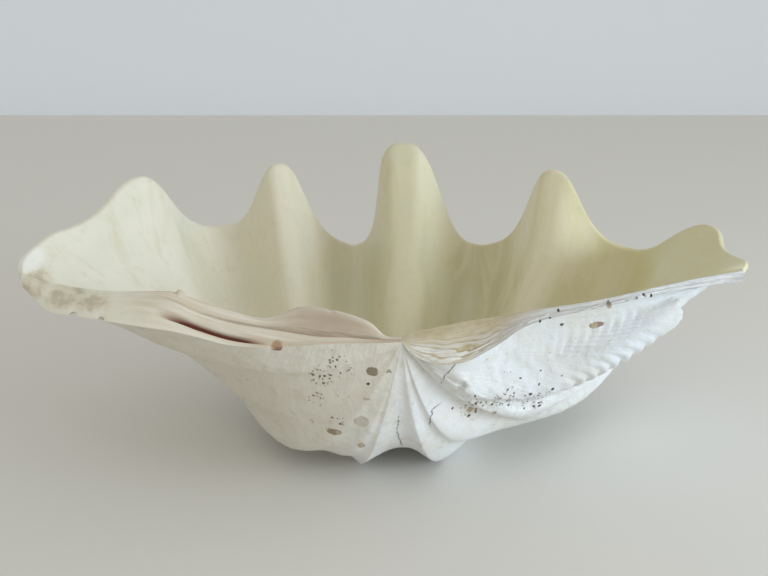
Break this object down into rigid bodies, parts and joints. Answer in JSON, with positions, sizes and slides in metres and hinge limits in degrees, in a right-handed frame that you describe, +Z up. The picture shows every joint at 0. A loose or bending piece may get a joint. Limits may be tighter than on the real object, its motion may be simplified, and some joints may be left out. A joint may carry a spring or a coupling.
{
  "type": "clam shell",
  "caption": "Single scalloped valve of a giant clam, resting hollow side up on its folded underside, with raised lobes round the margin and a worn hinge edge",
  "frame": {"origin": "Middle of the bounding box in plan, at the lowest face the shell stands on", "axes": "+X along the length of the shell to its front (byssal) end, +Y from the hinge to the scalloped margin, +Z up out of the hollow"},
  "size_m": [0.7026, 0.4554, 0.2741],
  "materials": {
    "shell": "matte chalky outside, satin cream to olive inside"
  },
  "bodies": {
    "root": {"valve": "shell"}
  },
  "joints": []
}
